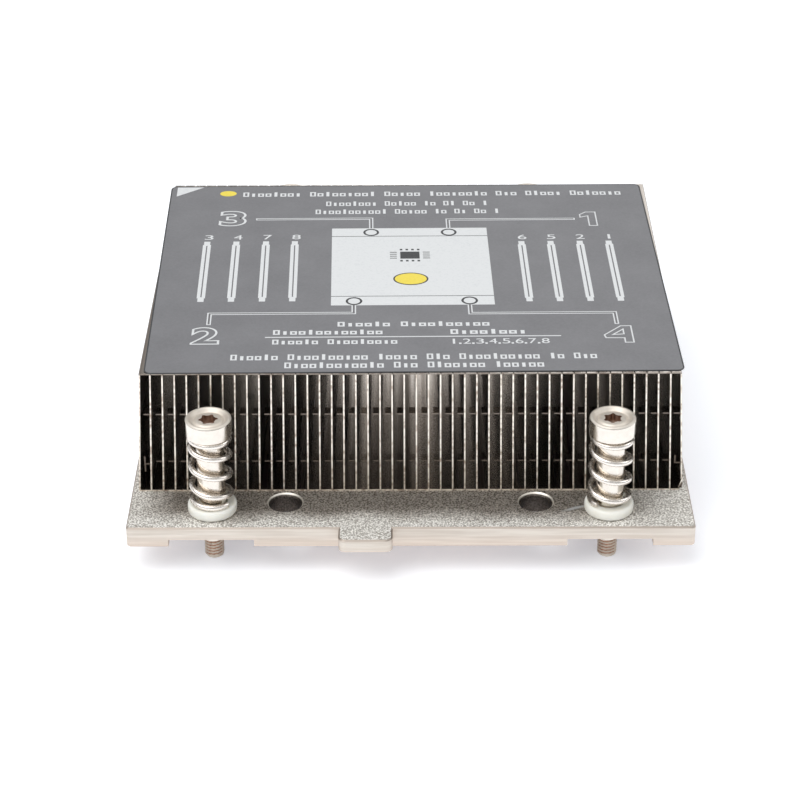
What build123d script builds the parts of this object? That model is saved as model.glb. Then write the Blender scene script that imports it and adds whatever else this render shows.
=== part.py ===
from build123d import *
import os
from math import cos, pi, radians, sin

# Passive heatsink for a server processor, in millimetres.
# The origin is the centre of the contact pad's face. X runs across the fins,
# +Y goes to the rear, where the screws stand closer together, and +Z is up.

# Sheet metal of the fins
SHEET = 0.3
FIN_HEIGHT = 27.55
INNER_FINS = 44
FIN_PITCH = 2.466
TOP_CLOSING = 0.056
END_STEP = 2.4
END_CLOSING = 0.3
FLANGE_GAP = 0.04
TAB_REACH = 1.6
TAB_WIDTH = 2.4
TAB_INSET = 0.8
UPPER_TAB_DROP = 10.0
LOWER_TAB_RISE = 6.5
END_TAB_RISE = 5.9
LIP_RISE = 1.6
LIP_DROP = 1.7
EAR_HEIGHT = 3.4
EAR_DEPTH = 1.0
EAR_ANGLE = 62.0

# Base plate
PLATE_THICKNESS = 4.55
PLATE_MARGIN = 1.4
PLATE_CORNER = 0.8
EDGE_BREAK = 0.3
PAD_WIDTH = 60.0
PAD_HEIGHT = 2.0
PAD_CORNER = 3.0
PAD_TO_RELIEF = 5.9
RELIEF_RADIUS = 8.6
RELIEF_DEPTH = 1.75
NOSE_CENTRE = -9.0
NOSE_WIDTH = 10.8
NOSE_REACH = 4.6
NOSE_THICKNESS = 2.8
NOSE_CORNER = 1.5
PLAIN_HOLE_INWARD = 14.6
PLAIN_HOLE_RADIUS = 3.1
PLAIN_HOLE_CHAMFER = 0.6
PLAIN_HOLE_CLEARANCE = 0.7

# Screw places
FRONT_SPACING = 80.0
REAR_SPACING = 56.0
ROW_SPACING = 105.0
EDGE_DISTANCE = 6.8
FRONT_FIN_CLEARANCE = 2.2
REAR_FIN_CLEARANCE = 4.25

# Mounting screw, from its thread outwards
THREAD_RADIUS = 2.0
THREAD_LENGTH = 3.25
THREAD_CHAMFER = 0.5
NECK_STEP = 0.4
NECK_LENGTH = 4.65
NECK_CHAMFER = 0.35
SHANK_STEP = 0.45
SHANK_ABOVE_RING = 1.15
SHANK_CLEARANCE = 0.25
HEAD_OVERHANG = 0.15
HEAD_HEIGHT = 3.7
HEAD_CHAMFER = 0.4
RIM_WIDTH = 0.75
DISH_DEPTH = 0.55
DISH_WALL = 0.25
DISH_FLOOR = 0.35
BOSS_DROP = 0.1
BOSS_WALL = 0.72
RECESS_LOBE = 0.42
RECESS_DEPTH = 2.0

# Retaining ring in its groove
GROOVE_DEPTH = 0.5
RING_THICKNESS = 0.7
RING_OVERLAP = 1.3
RING_WALL = 1.3
RING_BORE_CLEARANCE = 0.05
RING_SIDE_CLEARANCE = 0.05
RING_LOBES = (-20, 90, 200)
RING_LOBE_ANGLE = 26.0

# Nylon washer and spring
WASHER_OVERHANG = 0.45
WASHER_THICKNESS = 2.2
WASHER_EDGE = 0.2
SPRING_LENGTH = 15.75
SPRING_CLEARANCE = 0.4
WIRE = 1.25
SPRING_TURNS = 4.4
CLOSED_TURNS = 0.6
EASED_TURNS = 0.3
CLOSED_GAP = 0.05
GROUND_SHARE = 0.36
SPRING_START = -36.0
SEAT_CLEARANCE = 0.02
CHORDS_PER_TURN = 12
WIRE_SIDES = 8

# Label film
LABEL_THICKNESS = 0.15
LABEL_CORNER = 1.5
LABEL_INSET = 0.25
LABEL_SHIFT = -0.1
LABEL_TURN = 0.4

# Levels that follow from the sizes above
FEET = PAD_HEIGHT
PLATE_TOP = FEET + PLATE_THICKNESS
RELIEF_ROOF = FEET + RELIEF_DEPTH
FIN_TOP = PLATE_TOP + FIN_HEIGHT
WASHER_TOP = PLATE_TOP + WASHER_THICKNESS
HEAD_UNDERSIDE = WASHER_TOP + SPRING_LENGTH
HEAD_TOP = HEAD_UNDERSIDE + HEAD_HEIGHT
SHANK_END = RELIEF_ROOF + SHANK_ABOVE_RING
NECK_END = RELIEF_ROOF - NECK_LENGTH
TIP = NECK_END - THREAD_LENGTH

# Radii of the screw and of what sits round it
NECK_RADIUS = THREAD_RADIUS + NECK_STEP
GROOVE_RADIUS = NECK_RADIUS - GROOVE_DEPTH
SHANK_RADIUS = NECK_RADIUS + SHANK_STEP
HOLE_RADIUS = SHANK_RADIUS + SHANK_CLEARANCE
RING_RADIUS = HOLE_RADIUS + RING_OVERLAP
SPRING_RADIUS = SHANK_RADIUS + SPRING_CLEARANCE + WIRE
WASHER_RADIUS = SPRING_RADIUS + WASHER_OVERHANG
HEAD_RADIUS = SPRING_RADIUS + HEAD_OVERHANG
RIM_RADIUS = HEAD_RADIUS - HEAD_CHAMFER - RIM_WIDTH
BOSS_RADIUS = RIM_RADIUS - 2 * DISH_WALL - DISH_FLOOR
RECESS_RADIUS = BOSS_RADIUS - BOSS_WALL

# Edges of the plate and of the stack
PLATE_REACH = ROW_SPACING / 2 + EDGE_DISTANCE
FIN_FRONT = -ROW_SPACING / 2 + WASHER_RADIUS + FRONT_FIN_CLEARANCE
FIN_REAR = ROW_SPACING / 2 - WASHER_RADIUS - REAR_FIN_CLEARANCE
FIN_DEPTH = FIN_REAR - FIN_FRONT
TAB_STARTS = (FIN_FRONT + TAB_INSET, FIN_REAR - TAB_INSET - TAB_WIDTH)
INNER_SPAN_FOOT = (INNER_FINS - 1) * FIN_PITCH
INNER_SPAN_TOP = (INNER_FINS - 1) * (FIN_PITCH - TOP_CLOSING)
STACK_WIDTH_FOOT = INNER_SPAN_FOOT + 2 * END_STEP + SHEET
STACK_WIDTH_TOP = INNER_SPAN_TOP + 2 * (END_STEP - END_CLOSING) + SHEET
PLATE_WIDTH = STACK_WIDTH_FOOT + 2 * PLATE_MARGIN
PAD_DEPTH = ROW_SPACING - 2 * RELIEF_RADIUS - 2 * PAD_TO_RELIEF

SCREWS = {
    "front_left": (-FRONT_SPACING / 2, -ROW_SPACING / 2),
    "front_right": (FRONT_SPACING / 2, -ROW_SPACING / 2),
    "rear_left": (-REAR_SPACING / 2, ROW_SPACING / 2),
    "rear_right": (REAR_SPACING / 2, ROW_SPACING / 2),
}


def fin_places():
    """Centre of each sheet at its top and at its foot, from left to right."""
    pitch_top = FIN_PITCH - TOP_CLOSING
    step_top = END_STEP - END_CLOSING
    tops = [-INNER_SPAN_TOP / 2 + n * pitch_top for n in range(INNER_FINS)]
    feet = [-INNER_SPAN_FOOT / 2 + n * FIN_PITCH for n in range(INNER_FINS)]
    tops = [tops[0] - step_top] + tops + [tops[-1] + step_top]
    feet = [feet[0] - END_STEP] + feet + [feet[-1] + END_STEP]
    return list(zip(tops, feet))


def across_stack(outline):
    """Runs an outline drawn across the stack along the fins' whole depth."""
    return extrude(Plane.XZ.offset(-FIN_FRONT) * outline, amount=-FIN_DEPTH)


def plain_sheet(place):
    """The flat sheet that closes the stack on the left."""
    top, foot = place
    half = SHEET / 2
    outline = Polygon(
        (foot - half, PLATE_TOP),
        (foot + half, PLATE_TOP),
        (top + half, FIN_TOP),
        (top - half, FIN_TOP),
        align=None,
    )
    return across_stack(outline)


def folded_sheet(place, neighbour):
    """A sheet with both edges folded over to the left until they meet the neighbour."""
    top, foot = place
    half = SHEET / 2
    reach_top = neighbour[0] + half + FLANGE_GAP
    reach_foot = neighbour[1] + half + FLANGE_GAP
    outline = Polygon(
        (reach_foot, PLATE_TOP),
        (foot + half, PLATE_TOP),
        (top + half, FIN_TOP),
        (reach_top, FIN_TOP),
        (reach_top, FIN_TOP - SHEET),
        (top - half, FIN_TOP - SHEET),
        (foot - half, PLATE_TOP + SHEET),
        (reach_foot, PLATE_TOP + SHEET),
        align=None,
    )
    levels = outline.vertices().group_by(Axis.Y)
    folds = [level.sort_by(Axis.X)[-1] for level in (levels[0], levels[-1])]
    return across_stack(fillet(folds, SHEET))


def web_middle(place, level):
    """Place across the stack of a leaning sheet's middle at a level."""
    top, foot = place
    return foot + (top - foot) * (level - PLATE_TOP) / FIN_HEIGHT


def with_spacer_tabs(sheet, place, lower_rise):
    """Lances four tabs out of a sheet and turns them to the left, level with the windows' tops."""
    for level in (FIN_TOP - UPPER_TAB_DROP, PLATE_TOP + lower_rise):
        web = web_middle(place, level)
        for end in TAB_STARTS:
            window = Pos(web, end + TAB_WIDTH / 2, level - TAB_REACH / 2)
            sheet -= window * Box(3 * SHEET, TAB_WIDTH, TAB_REACH)
            tab_length = TAB_REACH - SHEET / 2
            tab = Pos(web - tab_length / 2, end + TAB_WIDTH / 2, level + SHEET / 2)
            sheet += tab * Box(tab_length, TAB_WIDTH, SHEET)
    return sheet


def with_turned_lips(sheet, place, drop):
    """Turns the ends of an outer gap's lower tabs up, and down as well where there is a drop."""
    level = PLATE_TOP + END_TAB_RISE
    x = web_middle(place, level) - TAB_REACH + SHEET
    height = LIP_RISE + SHEET + drop
    for end in TAB_STARTS:
        lip = Pos(x, end + TAB_WIDTH / 2, level - drop + height / 2)
        sheet += lip * Box(SHEET, TAB_WIDTH, height)
    return sheet


def with_bent_corner(sheet, place):
    """Bends the lower front corner of the last sheet outwards along a slanted crease."""
    foot = place[1] + SHEET / 2
    face = FIN_FRONT
    corner = Polygon(
        (face, PLATE_TOP),
        (face + EAR_DEPTH, PLATE_TOP),
        (face, PLATE_TOP + EAR_HEIGHT),
        align=None,
    )
    blank = extrude(Plane.YZ.offset(foot - 2 * SHEET) * corner, amount=3 * SHEET)
    ear = extrude(Plane.YZ.offset(foot - SHEET) * corner, amount=SHEET)
    crease = Axis(
        (foot, face, PLATE_TOP + EAR_HEIGHT),
        (0, EAR_DEPTH, -EAR_HEIGHT),
    )
    return (sheet - blank) + ear.rotate(crease, EAR_ANGLE)


def relief_outline(x, row):
    """The space under a screw, round at its inner end and open at the plate's edge."""
    side = 1 if row > 0 else -1
    open_length = 2 * EDGE_DISTANCE
    round_end = Pos(x, row) * Circle(RELIEF_RADIUS)
    straight = Pos(x, row + side * open_length / 2) * Rectangle(2 * RELIEF_RADIUS, open_length)
    return round_end + straight


def base_plate():
    """Plate with its contact pad, front nose, screw reliefs and holes."""
    outline = RectangleRounded(PLATE_WIDTH, 2 * PLATE_REACH, PLATE_CORNER)
    plate = extrude(Pos(0, 0, FEET) * outline, amount=PLATE_THICKNESS)
    nose_middle = -PLATE_REACH - NOSE_REACH / 2
    nose = Pos(NOSE_CENTRE, nose_middle) * Rectangle(NOSE_WIDTH, NOSE_REACH)
    nose = fillet(nose.vertices().group_by(Axis.Y)[0], NOSE_CORNER)
    plate += extrude(Pos(0, 0, PLATE_TOP - NOSE_THICKNESS) * nose, amount=NOSE_THICKNESS)
    levels = plate.faces().filter_by(Axis.Z).group_by(Axis.Z)
    rims = levels[0][0].outer_wire().edges() + levels[-1][0].outer_wire().edges()
    plate = chamfer(rims, EDGE_BREAK)
    pad = extrude(RectangleRounded(PAD_WIDTH, PAD_DEPTH, PAD_CORNER), amount=PAD_HEIGHT)
    plate += chamfer(pad.faces().sort_by(Axis.Z)[0].edges(), EDGE_BREAK)
    for x, row in SCREWS.values():
        plate -= extrude(Pos(0, 0, FEET) * relief_outline(x, row), amount=RELIEF_DEPTH)
        plate -= Pos(x, row, PLATE_TOP) * Cylinder(HOLE_RADIUS, 3 * PLATE_THICKNESS)
    for side in (-1, 1):
        x = side * (FRONT_SPACING / 2 - PLAIN_HOLE_INWARD)
        y = FIN_FRONT - PLAIN_HOLE_CLEARANCE - PLAIN_HOLE_CHAMFER - PLAIN_HOLE_RADIUS
        plate -= Pos(x, y, FEET) * plain_hole()
    return plate


def plain_hole():
    """A through hole with a bright countersunk rim above and a broken edge below."""
    r = PLAIN_HOLE_RADIUS
    top = PLATE_THICKNESS
    outline = Polygon(
        (0, 0),
        (r + EDGE_BREAK, 0),
        (r, EDGE_BREAK),
        (r, top - PLAIN_HOLE_CHAMFER),
        (r + PLAIN_HOLE_CHAMFER, top),
        (0, top),
        align=None,
    )
    return revolve(Plane.XZ * outline, Axis.Z)


def star_recess():
    """Six rounded lobes round a middle circle, as a star key needs."""
    lobe_place = RECESS_RADIUS - RECESS_LOBE
    outline = Circle(lobe_place)
    outline += PolarLocations(lobe_place, 6) * Circle(RECESS_LOBE)
    return extrude(outline, amount=RECESS_DEPTH)


def screw():
    """Dished head, smooth shank, grooved neck and thread, turned as one piece on the Z axis."""
    groove_top = RELIEF_ROOF
    groove_foot = RELIEF_ROOF - RING_THICKNESS - 2 * RING_SIDE_CLEARANCE
    boss_top = HEAD_TOP - BOSS_DROP
    dish = HEAD_TOP - DISH_DEPTH
    outline = Polygon(
        (0, TIP),
        (THREAD_RADIUS - THREAD_CHAMFER, TIP),
        (THREAD_RADIUS, TIP + THREAD_CHAMFER),
        (THREAD_RADIUS, NECK_END),
        (NECK_RADIUS - NECK_CHAMFER, NECK_END),
        (NECK_RADIUS, NECK_END + NECK_CHAMFER),
        (NECK_RADIUS, groove_foot),
        (GROOVE_RADIUS, groove_foot),
        (GROOVE_RADIUS, groove_top),
        (NECK_RADIUS, groove_top),
        (NECK_RADIUS, SHANK_END - NECK_CHAMFER),
        (SHANK_RADIUS, SHANK_END),
        (SHANK_RADIUS, HEAD_UNDERSIDE),
        (HEAD_RADIUS, HEAD_UNDERSIDE),
        (HEAD_RADIUS, HEAD_TOP - HEAD_CHAMFER),
        (HEAD_RADIUS - HEAD_CHAMFER, HEAD_TOP),
        (RIM_RADIUS, HEAD_TOP),
        (RIM_RADIUS - DISH_WALL, dish),
        (BOSS_RADIUS + DISH_WALL, dish),
        (BOSS_RADIUS, boss_top),
        (0, boss_top),
        align=None,
    )
    turned = revolve(Plane.XZ * outline, Axis.Z)
    return turned - Pos(0, 0, boss_top - RECESS_DEPTH) * star_recess()


def retaining_ring():
    """An open ring that snaps into the groove from the side on three inner lobes."""
    bore = GROOVE_RADIUS + RING_BORE_CLEARANCE
    inside = RING_RADIUS - RING_WALL
    ring = Circle(RING_RADIUS) - Circle(inside)
    lobe_length = inside - bore + RING_WALL / 2
    lobe_width = 2 * bore * sin(radians(RING_LOBE_ANGLE))
    lobe = Pos(bore + lobe_length / 2, 0) * Rectangle(lobe_length, lobe_width)
    for angle in RING_LOBES:
        ring += Rot(0, 0, angle) * lobe
    ring -= Circle(bore)
    mouth = Pos(0, -RING_RADIUS) * Rectangle(2 * bore, 2 * RING_RADIUS)
    ring -= mouth
    foot = RELIEF_ROOF - RING_SIDE_CLEARANCE - RING_THICKNESS
    return extrude(Pos(0, 0, foot) * ring, amount=RING_THICKNESS)


def nylon_washer():
    """A thick round washer with its outer edges broken."""
    disc = Circle(WASHER_RADIUS) - Circle(HOLE_RADIUS)
    washer = extrude(Pos(0, 0, PLATE_TOP) * disc, amount=WASHER_THICKNESS)
    rims = washer.edges().filter_by(GeomType.CIRCLE).group_by(SortBy.RADIUS)[-1]
    return chamfer(rims, WASHER_EDGE)


def coil_height(turn, active_pitch):
    """Rise of the wire after so many turns: closed at both ends and eased into the open pitch."""
    closed_pitch = WIRE + CLOSED_GAP
    step = active_pitch - closed_pitch
    rise = closed_pitch * turn
    rise += step * eased_length(turn - CLOSED_TURNS)
    rise -= step * eased_length(turn - SPRING_TURNS + CLOSED_TURNS + EASED_TURNS)
    return rise


def eased_length(turn):
    """Length of open coil passed, when it opens smoothly over the eased turns."""
    share = min(max(turn / EASED_TURNS, 0), 1)
    return EASED_TURNS * share * share / 2 + max(turn - EASED_TURNS, 0)


def spring():
    """Left-handed coil with closed, ground ends. Short chords and an eight-sided wire keep its faces few."""
    radius = SPRING_RADIUS - WIRE / 2
    low = WASHER_TOP + SEAT_CLEARANCE
    high = HEAD_UNDERSIDE - SEAT_CLEARANCE
    first = low + GROUND_SHARE * WIRE
    rise = high - low - 2 * GROUND_SHARE * WIRE
    open_turns = SPRING_TURNS - 2 * CLOSED_TURNS - EASED_TURNS
    closed_pitch = WIRE + CLOSED_GAP
    active_pitch = closed_pitch + (rise - closed_pitch * SPRING_TURNS) / open_turns
    count = round(SPRING_TURNS * CHORDS_PER_TURN)
    points = []
    for n in range(count + 1):
        turn = n / count * SPRING_TURNS
        angle = radians(SPRING_START) - 2 * pi * turn
        height = first + coil_height(turn, active_pitch)
        points.append((radius * cos(angle), radius * sin(angle), height))
    path = Polyline(*points)
    section = Plane(origin=path @ 0, z_dir=path % 0) * RegularPolygon(WIRE / 2, WIRE_SIDES)
    coil = sweep(section, path=path, transition=Transition.RIGHT)
    room = Pos(0, 0, (low + high) / 2) * Cylinder(2 * SPRING_RADIUS, high - low)
    return coil & room


def top_label():
    """Film over the tops of the fins, stuck on a little to the left and not quite square."""
    depth = FIN_DEPTH - 2 * LABEL_INSET
    outline = RectangleRounded(STACK_WIDTH_TOP, depth, LABEL_CORNER)
    film = extrude(outline, amount=LABEL_THICKNESS)
    middle = FIN_FRONT + FIN_DEPTH / 2
    return Pos(LABEL_SHIFT, middle, FIN_TOP) * Rot(0, 0, LABEL_TURN) * film


def write(shape, name):
    """Writes one node, and says what it is made of."""
    export_step(shape, f"parts/{name}.step")
    print(name, len(shape.solids()), round(shape.volume, 2))


os.makedirs("parts", exist_ok=True)

write(base_plate(), "base_plate")
write(top_label(), "top_label")

places = fin_places()
first_fin = with_spacer_tabs(folded_sheet(places[1], places[0]), places[1], END_TAB_RISE)
write(with_turned_lips(first_fin, places[1], LIP_DROP), "fin_02")
for n in range(2, INNER_FINS + 1):
    fin = folded_sheet(places[n], places[n - 1])
    write(with_spacer_tabs(fin, places[n], LOWER_TAB_RISE), f"fin_{n + 1:02d}")
last_fin = with_spacer_tabs(folded_sheet(places[-1], places[-2]), places[-1], END_TAB_RISE)
last_fin = with_turned_lips(last_fin, places[-1], 0)
last_fin = with_bent_corner(last_fin, places[-1])
write(Compound([plain_sheet(places[0]), last_fin]), "end_fins")

one_screw = screw()
one_ring = retaining_ring()
one_spring = spring()
one_washer = nylon_washer()
write(Compound([Pos(x, y) * one_washer for x, y in SCREWS.values()]), "nylon_washers")
for name, (x, y) in SCREWS.items():
    write(Pos(x, y) * one_screw, f"{name}_screw")
    write(Pos(x, y) * one_ring, f"{name}_retaining_ring")
    write(Pos(x, y) * one_spring, f"{name}_spring")
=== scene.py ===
import math

import bmesh
import bpy
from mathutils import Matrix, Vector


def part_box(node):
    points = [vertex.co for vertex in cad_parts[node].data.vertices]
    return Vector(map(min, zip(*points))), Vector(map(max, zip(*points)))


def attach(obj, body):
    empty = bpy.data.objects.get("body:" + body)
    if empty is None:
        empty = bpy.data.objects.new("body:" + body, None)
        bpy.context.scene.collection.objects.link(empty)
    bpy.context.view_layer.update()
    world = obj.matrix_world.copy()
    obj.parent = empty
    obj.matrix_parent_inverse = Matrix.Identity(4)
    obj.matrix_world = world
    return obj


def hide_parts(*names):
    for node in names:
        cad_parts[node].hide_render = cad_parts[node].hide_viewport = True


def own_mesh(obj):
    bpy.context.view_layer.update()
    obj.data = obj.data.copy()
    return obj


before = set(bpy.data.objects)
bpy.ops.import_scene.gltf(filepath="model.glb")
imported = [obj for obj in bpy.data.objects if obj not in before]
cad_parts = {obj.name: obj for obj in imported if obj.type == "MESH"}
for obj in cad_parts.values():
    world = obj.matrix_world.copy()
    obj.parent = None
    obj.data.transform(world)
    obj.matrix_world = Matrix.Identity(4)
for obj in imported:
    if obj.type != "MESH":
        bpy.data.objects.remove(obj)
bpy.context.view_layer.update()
bpy.ops.object.select_all(action="DESELECT")


# Base plate
# A block of aluminium, blasted on top and milled on its edges. The fins are soldered to it,
# four screws pass through it, and its two plain holes have thin bright rims over walls painted dark as
# shade.
MM = 0.001
# A blasted surface's grain is finer than this. It is drawn as coarse as it needs to show.
BLAST_GRAIN = 0.34
BLAST_DEPTH = 0.05
BLASTED_METALLIC = 0.3
# The next five numbers shape the painted shade of the fins on the plate's top: a darker band along their
# foot, with a wobbling edge, fading towards the plate's sides.
FIN_SHADE_WOBBLE_SIZE = 13.0
FIN_SHADE_BAND = (7.4, 12.0)
FIN_SHADE_LEFT = (-54.5, -47.5)
FIN_SHADE_RIGHT = (36.0, 52.0)
FIN_SHADE_WANDER = 8.0
MILL_GRAIN = 0.6
MILL_LENGTH = 14.0
HOLE_PLACE = (25.4, -49.75, 0)
HOLE_RIM = 3.42
RIM_WIDTH = 0.3
LOW_EDGE = (2.0, 5.0)
SCRATCH_PLACE = (33.2, -52.2, 6.55)
SCRATCH_TURN = math.radians(24)
SCRATCH_LENGTH = 6.2
SCRATCH_WIDTH = 1.3
SCRATCH_FLATNESS = 300
SCRATCH_STREAKS = 2.4
fin_low, fin_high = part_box("end_fins")
FIN_MIDDLE = (fin_low.y + fin_high.y) / 2 / MM
FIN_REACH = (fin_high.y - fin_low.y) / 2 / MM


def linear(code):
    """A colour written as sRGB hex, in the linear values that a shader takes."""
    parts = [int(code[n:n + 2], 16) / 255 for n in (1, 3, 5)]
    return [c / 12.92 if c <= 0.04045 else ((c + 0.055) / 1.055) ** 2.4 for c in parts] + [1]


def new_material(name):
    """An empty material, its node tree and its shader."""
    material = bpy.data.materials.new(name)
    material.use_nodes = True
    return material, material.node_tree, material.node_tree.nodes["Principled BSDF"]


def feed(tree, node, inputs):
    """Sets a node's inputs. Each is a value, a hex colour or the output that feeds it."""
    for name, value in inputs.items():
        if isinstance(value, bpy.types.NodeSocket):
            tree.links.new(value, node.inputs[name])
        else:
            node.inputs[name].default_value = linear(value) if isinstance(value, str) else value


def add(tree, kind, inputs, gives=0, **settings):
    """Adds one node with its settings and links, and gives back one of its outputs."""
    node = tree.nodes.new("ShaderNode" + kind)
    for name, value in settings.items():
        setattr(node, name, value)
    feed(tree, node, inputs)
    return node.outputs[gives]


def dress(piece, material):
    """Gives every material slot of a piece this one material."""
    if not piece.material_slots:
        piece.data.materials.append(material)
    for place in piece.material_slots:
        place.material = material


def blasted_aluminium():
    """Aluminium with a blasted top: a coarse light and dark speckle, with painted shade, a darker
    brown-grey band along the fins. The milled edges are smoother, warm and faintly streaked, and
    the walls of the two plain holes are painted dark as shade inside a thin bright rim."""
    material, tree, shader = new_material("blasted_aluminium")
    place = add(tree, "TexCoord", {}, "Object")
    normal = add(tree, "NewGeometry", {}, "Normal")
    up = add(tree, "SeparateXYZ", {0: normal}, "Z")
    top = add(tree, "MapRange", {0: up, 1: 0.85, 2: 0.97})
    slope = add(tree, "MapRange", {0: up, 1: 0.35, 2: 0.6})
    x, y, z = add(tree, "SeparateXYZ", {0: place}).node.outputs
    grain = add(tree, "TexNoise", {"Vector": place, "Scale": 1 / (BLAST_GRAIN * MM), "Detail": 3.0})
    shade_wobble = add(tree, "TexNoise", {"Vector": place, "Scale": 1 / (FIN_SHADE_WOBBLE_SIZE * MM), "Detail": 5.0})

    # Painted shade: a band along the fins' foot, its edge wobbled by noise, faded towards the plate's
    # left and right sides.
    along = add(tree, "Math", {0: y, 1: -FIN_MIDDLE * MM}, operation="ADD")
    along = add(tree, "Math", {0: along}, operation="ABSOLUTE")
    wander = add(tree, "Math", {0: shade_wobble, 1: FIN_SHADE_WANDER * MM, 2: -FIN_SHADE_WANDER / 2 * MM},
                 operation="MULTIPLY_ADD")
    along = add(tree, "Math", {0: along, 1: wander}, operation="ADD")
    painted_fin_shade = add(tree, "MapRange", {0: along, 1: (FIN_REACH + FIN_SHADE_BAND[0]) * MM,
                                     2: (FIN_REACH + FIN_SHADE_BAND[1]) * MM, 3: 1.0, 4: 0.0})
    left = add(tree, "MapRange", {0: x, 1: FIN_SHADE_LEFT[0] * MM, 2: FIN_SHADE_LEFT[1] * MM, 3: 0.2, 4: 0.9})
    right = add(tree, "MapRange", {0: x, 1: FIN_SHADE_RIGHT[0] * MM, 2: FIN_SHADE_RIGHT[1] * MM, 3: 1.0, 4: 0.0})
    painted_fin_shade = add(tree, "Math", {0: painted_fin_shade, 1: left}, operation="MULTIPLY")
    painted_fin_shade = add(tree, "Math", {0: painted_fin_shade, 1: right}, operation="MULTIPLY")

    fine = add(tree, "MapRange", {0: grain, 1: 0.38, 2: 0.62})
    coarse = add(tree, "MapRange", {0: grain, 1: 0.36, 2: 0.64})
    bright = add(tree, "Mix", {0: fine, 6: "#a39d94", 7: "#fffdf8"}, 2, data_type="RGBA")
    # The darker speckle is the colour of the painted shade along the fins.
    shaded_speckle = add(tree, "Mix", {0: coarse, 6: "#5f5851", 7: "#cfc6bb"}, 2, data_type="RGBA")
    blasted = add(tree, "Mix", {0: painted_fin_shade, 6: bright, 7: shaded_speckle}, 2, data_type="RGBA")

    turned = add(tree, "Mapping", {"Vector": place, "Location": [-c * MM for c in SCRATCH_PLACE]})
    turned = add(tree, "Mapping", {"Vector": turned, "Rotation": (0, 0, -SCRATCH_TURN)})
    stretch = (2 / (SCRATCH_LENGTH * MM), 2 / (SCRATCH_WIDTH * MM), SCRATCH_FLATNESS)
    stretched = add(tree, "VectorMath", {0: turned, 1: stretch}, operation="MULTIPLY")
    reach = add(tree, "VectorMath", {0: stretched}, "Value", operation="LENGTH")
    streaks = add(tree, "TexNoise", {"Vector": stretched, "Scale": SCRATCH_STREAKS, "Detail": 4.0})
    scratch = add(tree, "Math", {0: streaks, 1: reach}, operation="SUBTRACT")
    scratch = add(tree, "MapRange", {0: scratch, 1: -0.5, 2: 0.1, 4: 0.8})
    blasted = add(tree, "Mix", {0: scratch, 6: blasted, 7: "#f4f6f7"}, 2, data_type="RGBA")

    lay = MILL_GRAIN / MILL_LENGTH
    milled = add(tree, "Mapping", {"Vector": place, "Scale": (lay, lay, 1)})
    milled = add(tree, "TexNoise", {"Vector": milled, "Scale": 1 / (MILL_GRAIN * MM), "Detail": 4.0})
    streak = add(tree, "MapRange", {0: milled, 1: 0.35, 2: 0.65})
    edge = add(tree, "Mix", {0: streak, 6: "#cdc3b8", 7: "#ded6cc"}, 2, data_type="RGBA")
    low_edge = add(tree, "MapRange", {0: z, 1: LOW_EDGE[0] * MM, 2: LOW_EDGE[1] * MM, 3: 0.5, 4: 0.0})
    edge = add(tree, "Mix", {0: low_edge, 6: edge, 7: "#dcc7b7"}, 2, data_type="RGBA")
    edge = add(tree, "Mix", {0: slope, 6: edge, 7: "#b5aaa0"}, 2, data_type="RGBA")

    beside = add(tree, "Math", {0: x}, operation="ABSOLUTE")
    beside = add(tree, "CombineXYZ", {0: beside, 1: y})
    from_hole = add(tree, "VectorMath", {0: beside, 1: [c * MM for c in HOLE_PLACE]}, "Value",
                    operation="DISTANCE")
    # Painted shade: the walls of the two plain holes are painted dark, below a thin bright rim at their
    # top.
    bore_shade_mask = add(tree, "MapRange", {0: from_hole, 1: (HOLE_RIM - 0.08) * MM,
                                     2: (HOLE_RIM + 0.08) * MM, 3: 1.0, 4: 0.0})
    rim = add(tree, "MapRange", {0: from_hole, 1: (HOLE_RIM + RIM_WIDTH) * MM,
                                 2: (HOLE_RIM + RIM_WIDTH + 0.1) * MM, 3: 1.0, 4: 0.0})
    patches = add(tree, "MapRange", {0: grain, 1: 0.35, 2: 0.65})
    wall = add(tree, "Mix", {0: patches, 6: "#3f3a36", 7: "#6a635d"}, 2, data_type="RGBA")
    edge = add(tree, "Mix", {0: rim, 6: edge, 7: "#fffaf0"}, 2, data_type="RGBA")
    colour = add(tree, "Mix", {0: top, 6: edge, 7: blasted}, 2, data_type="RGBA")
    colour = add(tree, "Mix", {0: bore_shade_mask, 6: colour, 7: wall}, 2, data_type="RGBA")

    rough = add(tree, "MapRange", {0: painted_fin_shade, 3: 0.85, 4: 0.55})
    rough = add(tree, "Mix", {0: top, 2: 0.5, 3: rough})
    height = add(tree, "Mix", {0: top, 2: milled, 3: grain})
    bump = add(tree, "Bump", {"Height": height, "Distance": BLAST_DEPTH * MM, "Strength": 0.8})
    unshaded_top = add(tree, "Math", {0: 1.0, 1: painted_fin_shade}, operation="SUBTRACT")
    unshaded_top = add(tree, "Math", {0: top, 1: unshaded_top}, operation="MULTIPLY")
    metallic = add(tree, "MapRange", {0: unshaded_top, 3: 1.0, 4: BLASTED_METALLIC})
    feed(tree, shader, {"Base Color": colour, "Roughness": rough, "Metallic": metallic, "Normal": bump})
    return material


dress(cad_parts["base_plate"], blasted_aluminium())


# Fins
# Forty-six aluminium sheets, folded at top and foot and lanced with tabs that keep them apart.
# They are pushed together, soldered to the plate, and open only at the front and the rear.
ROLL_LINE_WIDTH = 0.35
ROLL_LINE_LENGTH = 24.0
WAVE_LENGTH = 11.0
WAVE_DEPTH = 0.09
NICK_SIZE = 0.8
NICK_DEPTH = 0.02
TOP_EDGE = 0.42
EDGE_DEPTH = (0.3, 0.6)
# Each sheet has a tone of its own, from a noise that is a little wider than one gap.
FIN_TONE_WIDTH = 2.6316


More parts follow.
